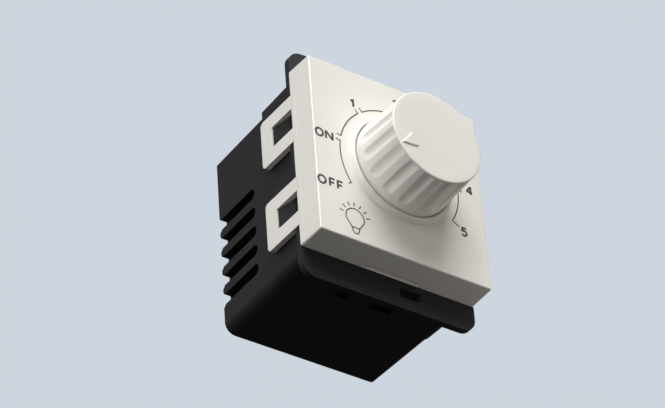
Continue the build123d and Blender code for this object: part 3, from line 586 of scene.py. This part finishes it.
class DIMMER_OT_inner(Operator):
    """Finishes the pieces inside and adds the resistors' colour bands and the bush's thread"""

    bl_idname = "object.dimmer_inner"
    bl_label = "Inner pieces"

    def execute(self, context):
        for names, material_name, look in INNER_SURFACES:
            self.finish_pieces(worked_surface(material_name, **look), names)
        self.finish_pieces(screened_carbon_on_phenolic(), ("resistance_track",))
        self.add_bands()
        self.add_thread()
        return {"FINISHED"}

    def finish_pieces(self, material, names):
        """One surface and soft edges for a group of pieces."""
        give(material, *names)
        for name in names:
            soften(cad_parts[name], INNER_EDGES.get(name, INNER_EDGE) * MM)

    def add_bands(self):
        """Four lacquer bands round each resistor."""
        low, high = node_box("resistors")
        radius = (high.z - low.z) / 2
        axis_z = (low.z + high.z) / 2
        axis_y = high.y - radius
        angles = [2 * pi * i / BAND_STEPS for i in range(BAND_STEPS)]
        for name, colour, offset in RESISTOR_BANDS:
            working = bmesh.new()
            for centre in RESISTOR_CENTRES:
                middle = (centre + offset * RESISTOR_BODY / 2) * MM
                rows = []
                for side, share in BAND_SECTION:
                    x = middle + side * BAND_HALF_WIDTH * MM
                    r = radius * share
                    rim = [(x, axis_y + r * cos(a), axis_z + r * sin(a)) for a in angles]
                    rows.append([working.verts.new(point) for point in rim])
                wrap_rows(working, rows + [rows[0]])
            material = worked_surface(f"{name}_band_lacquer", colour, roughness=(0.3, 0.4), grain_size=0.3)
            mesh_object(f"resistor_band_{name}", finished_mesh(name, working), material, FIXED_BODY)

    def add_thread(self):
        """Fine helical ridge on the free length of the bush, in front of its nut."""
        root = BUSH_RADIUS - THREAD_SINK
        crest = BUSH_RADIUS + THREAD_HEIGHT
        start = node_box("pot_bush")[0].y + THREAD_LEAD
        end = node_box("pot_nut")[0].y - THREAD_NUT_GAP
        working = bmesh.new()
        rows = []
        for i in range(int((end - start) / THREAD_PITCH * THREAD_STEPS_PER_TURN) + 1):
            turns = i / THREAD_STEPS_PER_TURN
            angle = 2 * pi * turns
            y = start + THREAD_PITCH * turns
            section = ((root, y - THREAD_HALF_WIDTH), (crest, y), (root, y + THREAD_HALF_WIDTH))
            rows.append([working.verts.new(dial_point(radius, angle, at)) for radius, at in section])
        wrap_rows(working, rows)
        close_ends(working, rows)
        mesh = finished_mesh("bush_thread", working)
        material = bpy.data.materials["turned_nickel_plated_brass"]
        mesh_object("bush_thread", mesh, material, FIXED_BODY)


# The dial's cap: radius of the small face at its middle, and shares of its radius where rings of points lie
CAP_MIDDLE = 0.4 * MM
CAP_RINGS = (0.3, 0.6, 0.85)
CAP_EDGE_STEPS = 6

# The dial's side: where its fluted wall starts behind the lip, and the bevel at the skirt's end
FLUTE_START = 0.03 * MM
FLUTE_ROWS = 44
COLUMNS_PER_FLUTE = 22
SKIRT_BEVEL = 0.15 * MM

# A groove's rims are rounded over the blend, which starts from a wall this much further out.
GROOVE_BLEND = 0.12 * MM
GROOVE_BLEND_OFFSET = 0.01 * MM

# The arrowhead: how far its corners lean in over its height, and how deep its foot is sunk in the cap
ARROW_DRAFT = 0.45 * MM
ARROW_SINK = 0.05 * MM


def dial_planes():
    """Where the cap, the skirt's start and the skirt's end lie along Y."""
    low, high = node_box("knob")
    return low.y + sizes().pointer_height, high.y - sizes().skirt_length, high.y


def knob_profile():
    """Outline of the dial as (radius, y, fluted), from the middle of the cap round to the bore's end."""
    s = sizes()
    front, skirt_top, back = dial_planes()
    skirt_radius = node_box("knob")[1].x
    outline = [(CAP_MIDDLE, front, False)]
    outline += [(s.cap_radius * share, front, False) for share in CAP_RINGS]
    for i in range(CAP_EDGE_STEPS + 1):
        turn = pi / 2 * i / CAP_EDGE_STEPS
        radius = s.cap_radius - s.cap_edge * (1 - sin(turn))
        outline.append((radius, front + s.cap_edge * (1 - cos(turn)), False))
    lip_y = front + s.cap_lip
    outline.append((s.cap_radius, lip_y, False))
    wall_y = lip_y + FLUTE_START
    for i in range(FLUTE_ROWS + 1):
        y = wall_y + (skirt_top - wall_y) * i / FLUTE_ROWS
        radius = s.cap_radius + (skirt_radius - s.cap_radius) * (y - lip_y) / (skirt_top - lip_y)
        outline.append((radius, y, True))
    ceiling = front + s.knob_wall
    hub_end = back - s.hub_step
    bore_end = front + s.bore_depth
    inside = (
        (skirt_radius, back - SKIRT_BEVEL),
        (skirt_radius - SKIRT_BEVEL, back),
        (skirt_radius - s.knob_wall, back),
        (s.cap_radius - s.knob_wall, ceiling),
        (s.hub_radius, ceiling),
        (s.hub_radius, hub_end),
        (s.bore_radius, hub_end),
        (s.bore_radius, bore_end),
        (CAP_MIDDLE, bore_end),
    )
    outline += [(radius, y, False) for radius, y in inside]
    return outline


def soft_min(a, b, blend):
    """Smaller of two values, rounded where they meet."""
    h = max(blend - abs(a - b), 0) / blend
    return min(a, b) - h * h * blend / 4


def flute_radius_at(radius, y, angle):
    """Radius of the dial's side with its round-ended grooves cut in."""
    s = sizes()
    front, skirt_top = dial_planes()[:2]
    skirt_radius = node_box("knob")[1].x
    half_width = sqrt(s.flute_radius**2 - (s.flute_radius - s.flute_depth) ** 2)
    end_y = skirt_top - half_width - s.flute_margin
    slope = (skirt_radius - s.cap_radius) / (skirt_top - front - s.cap_lip)
    cutter_axis = skirt_radius + s.flute_radius - s.flute_depth - slope * max(0, end_y - y)
    pitch = 2 * pi / s.flute_count
    offset = (angle - s.flute_phase + pitch / 2) % pitch - pitch / 2
    across = radius * offset
    along = max(0, y - end_y)
    left = s.flute_radius**2 - across**2 - along**2
    if left <= 0:
        return radius
    return min(radius, soft_min(radius + GROOVE_BLEND_OFFSET, cutter_axis - sqrt(left), GROOVE_BLEND))


class DIMMER_OT_dial(Operator):
    """Builds the fluted dial with its raised arrowhead in place of the plain solid"""

    bl_idname = "object.dimmer_dial"
    bl_label = "Dial"

    def execute(self, context):
        s = sizes()
        columns = s.flute_count * COLUMNS_PER_FLUTE
        working = bmesh.new()
        rows = []
        for radius, y, fluted in knob_profile():
            row = []
            for i in range(columns):
                angle = s.flute_phase + 2 * pi * i / columns
                r = flute_radius_at(radius, y, angle) if fluted else radius
                row.append(working.verts.new(dial_point(r, angle, y)))
            rows.append(row)
        wrap_rows(working, rows)
        close_ends(working, rows)
        self.add_arrowhead(working, dial_planes()[0])
        mesh = finished_mesh("dial", working, smooth_angle=28)
        white = bpy.data.materials["glossy_white_polycarbonate"]
        piece = mesh_object("dial", mesh, white, DIAL_BODY)
        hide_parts("knob")
        return {"FINISHED"}

    def add_arrowhead(self, working, cap_y):
        """Raised triangle with drafted sides, sunk a little into the cap."""
        s = sizes()
        corners = [
            (s.pointer_tip, 0),
            (s.pointer_base, s.pointer_half_width),
            (s.pointer_base, -s.pointer_half_width),
        ]
        middle = Vector((sum(c[0] for c in corners) / 3, sum(c[1] for c in corners) / 3))
        turn = Matrix.Rotation(s.pointer_angle, 2)
        top_y = cap_y - s.pointer_height
        levels = (
            (cap_y + ARROW_SINK, 0),
            (top_y + ARROW_DRAFT / 2, ARROW_DRAFT / 2),
            (top_y, ARROW_DRAFT),
        )
        rings = []
        for y, inset in levels:
            ring = []
            for corner in corners:
                flat = Vector(corner)
                flat -= (flat - middle).normalized() * inset
                flat = turn @ flat
                ring.append(working.verts.new((flat.x, y, flat.y)))
            rings.append(ring)
        wrap_rows(working, rings)
        close_ends(working, rings)


def ribbon(working, path, width, y_back, y_front):
    """Flat printed stroke of one width along points (x, z), with square ends."""
    points = [Vector(point) for point in path]
    rings = []
    for i, point in enumerate(points):
        incoming = (point - points[max(i - 1, 0)]).normalized()
        outgoing = (points[min(i + 1, len(points) - 1)] - point).normalized()
        heading = (incoming + outgoing).normalized()
        side = Vector((-heading.y, heading.x))
        # At a bend the joint is wider, so that the stroke keeps its width on both sides.
        squareness = side.dot(Vector((-outgoing.y, outgoing.x))) if outgoing.length else 1
        reach = side * width / 2 / max(0.5, squareness)
        a, b = point + reach, point - reach
        section = ((a.x, y_back, a.y), (a.x, y_front, a.y), (b.x, y_front, b.y), (b.x, y_back, b.y))
        rings.append([working.verts.new(corner) for corner in section])
    wrap_rows(working, rings)
    close_ends(working, rings)


def arc_points(centre, radius, start, end, step=radians(3), flatten=1.0):
    """Points along an arc, angles counted up from the right; flatten scales its height."""
    steps = max(2, ceil(abs(end - start) / step))
    angles = [start + (end - start) * i / steps for i in range(steps + 1)]
    return [(centre[0] + radius * cos(a), centre[1] + radius * flatten * sin(a)) for a in angles]


def bow(x, z, half_width, half_height, start, end):
    """Part of an ellipse in a glyph's unit square, angles in degrees."""
    flatten = half_height / half_width
    return arc_points((x, z), half_width, radians(start), radians(end), radians(15), flatten)


# Height of the collar round the dial above the face that is printed, and how deep the ink reaches into it
COLLAR_HEIGHT = 1.4 * MM
INK_SINK = 0.01 * MM

# Each mark's dial angle in degrees, counted up from the right, half the gap that it makes in the printed
# arc, and how far the ticks there reach outwards in millimetres
MARKS = {
    "OFF": (211.5, 0, 0.8),
    "ON": (168.4, 2.7, 1.1),
    "1": (127.6, 2.6, 1.1),
    "2": (88.0, 2.6, 1.1),
    "3": (48.0, 2.6, 1.1),
    "4": (5.5, 2.6, 1.1),
    "5": (-31.6, 0, 2.0),
}

# Middle of each numeral and of each word's letters on the face, as (x, z) in millimetres, with its width
GLYPH_PLACES = {
    "ON": (("O", -20.0, 2.55, 1.8), ("N", -17.55, 2.55, 1.65)),
    "OFF": (("O", -20.2, -9.75, 1.8), ("F", -17.65, -9.75, 1.24), ("F", -15.7, -9.75, 1.24)),
    "1": (("1", -10.8, 13.84, 1.2),),
    "2": (("2", 0.6, 18.0, 1.25),),
    "3": (("3", 12.1, 13.3, 1.25),),
    "4": (("4", 18.1, 2.0, 1.45),),
    "5": (("5", 15.6, -9.8, 1.25),),
}

# Strokes of each glyph in a unit square, as point lists
GLYPHS = {
    "O": [bow(0.5, 0.5, 0.5, 0.5, 90, 450)],
    "N": [[(0, 0), (0, 1)], [(0.03, 0.97), (0.97, 0.03)], [(1, 0), (1, 1)]],
    "F": [[(0, 0), (0, 1)], [(-0.1, 1), (1, 1)], [(0, 0.5), (0.85, 0.5)]],
    "1": [[(0.1, 0.7), (0.6, 0.95)], [(0.6, 1.05), (0.6, 0)]],
    "2": [bow(0.48, 0.7, 0.46, 0.3, 165, -35) + [(0.1, 0.05)], [(-0.05, 0), (1, 0)]],
    "3": [bow(0.46, 0.76, 0.42, 0.24, 155, -90), bow(0.46, 0.27, 0.5, 0.27, 90, -155)],
    "4": [[(0.75, 0), (0.75, 1.05)], [(0.72, 0.98), (0.02, 0.3)], [(-0.05, 0.28), (1, 0.28)]],
    "5": [[(0.92, 1), (0.06, 1)], [(0.16, 1), (0.08, 0.5)], bow(0.46, 0.32, 0.5, 0.33, 140, -150)],
}

# The lamp sign: middle and radius of its glass, and the half widths of its neck, its step and its foot
BULB_X = -12.57 * MM
BULB_Z = -16.75 * MM
BULB_RADIUS = 2.25 * MM
NECK_HALF_WIDTH = 0.95 * MM
STEP_HALF_WIDTH = 0.75 * NECK_HALF_WIDTH
FOOT_HALF_WIDTH = 0.4 * MM

# How far the neck, the step and the foot lie below the glass's middle
NECK_DROP = 2.55 * MM
STEP_DROP = 3.5 * MM
FOOT_DROP = 4.0 * MM

# Half the glass's opening at the neck and its step, and the rays' angles, in degrees, with the rays' reach
BULB_OPENING = 52
BULB_STEP = 8
RAY_ANGLES = range(15, 166, 25)
RAY_START = 2.9 * MM
RAY_END = 3.85 * MM


def tick_end(arc_end, mark, length):
    """Outer end of a tick that leaves the arc along the mark's own direction."""
    radius = sizes().scale_radius
    out = radians(mark)
    reach = length * MM
    return radius * cos(arc_end) + reach * cos(out), radius * sin(arc_end) + reach * sin(out)


def scale_strokes():
    """The arcs between neighbouring marks, each with a tick at both ends."""
    strokes = []
    marks = list(MARKS.values())
    for (start, start_gap, start_tick), (end, end_gap, end_tick) in zip(marks, marks[1:]):
        first = radians(start - start_gap)
        last = radians(end + end_gap)
        arc = arc_points((0, 0), sizes().scale_radius, first, last)
        strokes.append([tick_end(first, start, start_tick)] + arc + [tick_end(last, end, end_tick)])
    return strokes


def bulb_point(across, drop):
    """Point of the lamp sign, across its middle line and below the middle of its glass."""
    return BULB_X + across, BULB_Z - drop


def lamp_strokes():
    """Round glass narrowing to a neck, a small base under it and seven rays."""
    opening = radians(BULB_OPENING)
    glass = arc_points(
        (BULB_X, BULB_Z), BULB_RADIUS, -pi / 2 + opening, 3 * pi / 2 - opening, radians(BULB_STEP)
    )
    left = bulb_point(-NECK_HALF_WIDTH, NECK_DROP)
    right = bulb_point(NECK_HALF_WIDTH, NECK_DROP)
    base = [
        left,
        bulb_point(-STEP_HALF_WIDTH, STEP_DROP),
        bulb_point(-FOOT_HALF_WIDTH, FOOT_DROP),
        bulb_point(FOOT_HALF_WIDTH, FOOT_DROP),
        bulb_point(STEP_HALF_WIDTH, STEP_DROP),
        right,
    ]
    rays = []
    for angle in RAY_ANGLES:
        across = cos(radians(angle))
        up = sin(radians(angle))
        rays.append([bulb_point(reach * across, -reach * up) for reach in (RAY_START, RAY_END)])
    return [[right] + glass + [left], [left, right], base] + rays


def letter_strokes(letters):
    """The strokes of a word's or numeral's glyphs, each at its place and width."""
    height = sizes().letter_height
    strokes = []
    for glyph, x, z, width in letters:
        for stroke in GLYPHS[glyph]:
            strokes.append([((x + (u - 0.5) * width) * MM, z * MM + (v - 0.5) * height) for u, v in stroke])
    return strokes


class DIMMER_OT_print(Operator):
    """Prints the scale, its numerals, ON, OFF and the lamp sign on the face"""

    bl_idname = "object.dimmer_print"
    bl_label = "Print"

    def execute(self, context):
        s = sizes()
        ink = pad_printed_ink()
        self.add_print("scale_print", scale_strokes(), s.line_width, ink)
        self.add_print("lamp_sign", lamp_strokes(), s.line_width, ink)
        for word, letters in GLYPH_PLACES.items():
            self.add_print(f"print_{word}", letter_strokes(letters), s.stroke_width, ink)
        return {"FINISHED"}

    def add_print(self, name, strokes, width, ink):
        """Makes one printed piece on the face."""
        face_y = node_box("front_plate")[0].y + COLLAR_HEIGHT
        working = bmesh.new()
        for path in strokes:
            ribbon(working, path, width, face_y + INK_SINK, face_y - sizes().ink_height)
        mesh_object(name, finished_mesh(name, working), ink, FIXED_BODY)


# Soft boxes as name, place and target in metres, side, power in watts and colour
LAMPS = (
    ("key_softbox", (-0.25, -0.6, 0.95), (0, 0, 0), 0.9, 18.0, (1, 1, 1)),
    ("left_softbox", (-1.0, -0.25, 0.0), (0, 0, 0), 0.6, 5.1, (1, 1, 1)),
    ("back_softbox", (0.6, 0.9, 0.7), (0, 0, 0), 0.5, 3.0, (1, 1, 1)),
    ("low_softbox", (-0.25, -0.9, -0.35), (0, 0, 0), 0.8, 0.75, (1, 0.94, 0.88)),
    # A small warm card close by on the lower right gives the underside its fall-off to the left.
    ("low_card", (0.11, -0.045, -0.06), (0, -0.004, -0.022), 0.05, 0.025, (1, 0.93, 0.86)),
)

# The world's light changes from the ground's to the sky's between these heights of the view's direction.
HORIZON_LOW = -0.25
HORIZON_HIGH = 0.35

# The floor: half its side in metres, the share of its colour that other rays see, and its glow to the camera
FLOOR_HALF_SIDE = 3.0
FLOOR_DARK_SHARE = 0.08
FLOOR_GLOW = 0.6


def area_lamp(name, place, target, size, power, colour):
    """Square soft box at a place, turned to a target."""
    lamp = bpy.data.lights.new(name, "AREA")
    lamp.shape = "SQUARE"
    lamp.size = size
    lamp.energy = power
    lamp.color = colour
    holder = bpy.data.objects.new(name, lamp)
    bpy.context.scene.collection.objects.link(holder)
    holder.location = place
    holder.rotation_mode = "QUATERNION"
    holder.rotation_quaternion = (Vector(target) - Vector(place)).to_track_quat("-Z", "Y")


class DIMMER_OT_stage(Operator):
    """Sets the camera, the lamps, the backdrop and the pale floor"""

    bl_idname = "object.dimmer_stage"
    bl_label = "Stage"

    def execute(self, context):
        stage = context.scene.dimmer_stage
        self.set_camera(context.scene, stage)
        self.set_world(context.scene, stage)
        for lamp in LAMPS:
            area_lamp(*lamp)
        self.add_floor(context.scene, stage)
        return {"FINISHED"}

    def set_camera(self, scene, stage):
        """Camera on its direction from the aim, with its small roll."""
        camera = bpy.data.cameras.new("studio_camera")
        camera.sensor_width = 36
        camera.lens = stage.lens / MM
        camera.clip_start = 0.05
        camera.clip_end = 20
        holder = bpy.data.objects.new("studio_camera", camera)
        scene.collection.objects.link(holder)
        back = Vector((
            sin(stage.azimuth) * cos(stage.elevation),
            -cos(stage.azimuth) * cos(stage.elevation),
            sin(stage.elevation),
        ))
        holder.location = Vector(stage.aim) + back * stage.distance
        holder.rotation_mode = "QUATERNION"
        level = (-back).to_track_quat("-Z", "Y")
        roll = Matrix.Rotation(-stage.roll, 3, "Z").to_quaternion()
        holder.rotation_quaternion = level @ roll
        scene.camera = holder

    def set_world(self, scene, stage):
        """Light from above, little from below, and the backdrop's colour for what the camera sees itself."""
        scene.view_settings.view_transform = "Standard"
        world = bpy.data.worlds.new("studio")
        scene.world = world
        world.use_nodes = True
        tree = world.node_tree
        tree.nodes.clear()
        path = add_node(tree, "ShaderNodeLightPath")
        way = add_node(tree, "ShaderNodeTexCoord").outputs["Generated"]
        height = add_node(tree, "ShaderNodeSeparateXYZ", links={"Vector": way}).outputs["Z"]
        strength = add_node(
            tree,
            "ShaderNodeMapRange",
            inputs={
                "From Min": HORIZON_LOW,
                "From Max": HORIZON_HIGH,
                "To Min": stage.ground,
                "To Max": stage.sky,
            },
            links={"Value": height},
        ).outputs["Result"]
        around = add_node(
            tree, "ShaderNodeBackground", inputs={"Color": (1, 1, 1, 1)}, links={"Strength": strength}
        )
        backdrop = add_node(
            tree, "ShaderNodeBackground", inputs={"Color": (*stage.backdrop, 1), "Strength": 1.0}
        )
        both = add_node(
            tree,
            "ShaderNodeMixShader",
            links={
                0: path.outputs["Is Camera Ray"],
                1: around.outputs["Background"],
                2: backdrop.outputs["Background"],
            },
        )
        add_node(tree, "ShaderNodeOutputWorld", links={"Surface": both.outputs["Shader"]})

    def add_floor(self, scene, stage):
        """Wide pale floor well below the object, which is held up as in its wall frame."""
        working = bmesh.new()
        corners = [
            working.verts.new((x * FLOOR_HALF_SIDE, y * FLOOR_HALF_SIDE, -stage.floor_drop))
            for x, y in ((-1, -1), (1, -1), (1, 1), (-1, 1))
        ]
        working.faces.new(corners)
        mesh = finished_mesh("pale_floor", working)
        mesh.materials.append(self.floor_paint(stage))
        floor = bpy.data.objects.new("pale_floor", mesh)
        scene.collection.objects.link(floor)

    def floor_paint(self, stage):
        """Matt pale paint that glows a little to the camera, and is dark to the light under the object."""
        material, tree, shader, place = new_material("matt_pale_floor")
        pale = mottle(tree, grain(tree, place, 0.4), (*stage.backdrop, 1), 0.01)
        seen = add_node(tree, "ShaderNodeLightPath").outputs["Is Camera Ray"]
        dark = tuple(FLOOR_DARK_SHARE * channel for channel in stage.backdrop)
        colour = add_node(
            tree,
            "ShaderNodeMix",
            data_type="RGBA",
            inputs={"A": (*dark, 1)},
            links={"Factor": seen, "B": pale},
        )
        tree.links.new(colour.outputs["Result"], shader.inputs["Base Color"])
        shader.inputs["Roughness"].default_value = 0.9
        glow = add_node(
            tree, "ShaderNodeMath", operation="MULTIPLY", inputs={1: FLOOR_GLOW}, links={0: seen}
        )
        tree.links.new(pale, shader.inputs["Emission Color"])
        tree.links.new(glow.outputs["Value"], shader.inputs["Emission Strength"])
        return material


class DIMMER_PT_panel(Panel):
    """Lists the pieces and the stage in the sidebar"""

    bl_label = "Rotary dimmer"
    bl_idname = "DIMMER_PT_panel"
    bl_space_type = "VIEW_3D"
    bl_region_type = "UI"
    bl_category = "Dimmer"

    def draw(self, context):
        layout = self.layout
        for holder in (context.scene.dimmer_sizes, context.scene.dimmer_colours, context.scene.dimmer_stage):
            box = layout.box()
            for key in holder.bl_rna.properties.keys():
                if key not in ("rna_type", "name"):
                    box.prop(holder, key)
        for operator in STEPS:
            layout.operator(operator.bl_idname)


STEPS = (DIMMER_OT_shells, DIMMER_OT_inner, DIMMER_OT_dial, DIMMER_OT_print, DIMMER_OT_stage)
GROUPS = (DimmerSizes, DimmerColours, StageSettings)
CLASSES = (*GROUPS, *STEPS, DIMMER_PT_panel)


def register():
    """Registers the classes and hangs the properties on the scene."""
    for cls in CLASSES:
        bpy.utils.register_class(cls)
    bpy.types.Scene.dimmer_sizes = PointerProperty(type=DimmerSizes)
    bpy.types.Scene.dimmer_colours = PointerProperty(type=DimmerColours)
    bpy.types.Scene.dimmer_stage = PointerProperty(type=StageSettings)


def unregister():
    """Takes the properties and classes off again."""
    del bpy.types.Scene.dimmer_sizes
    del bpy.types.Scene.dimmer_colours
    del bpy.types.Scene.dimmer_stage
    for cls in reversed(CLASSES):
        bpy.utils.unregister_class(cls)


def main():
    """Runs every step in order."""
    register()
    bpy.ops.object.dimmer_shells()
    bpy.ops.object.dimmer_inner()
    bpy.ops.object.dimmer_dial()
    bpy.ops.object.dimmer_print()
    bpy.ops.object.dimmer_stage()


if __name__ == "__main__":
    main()
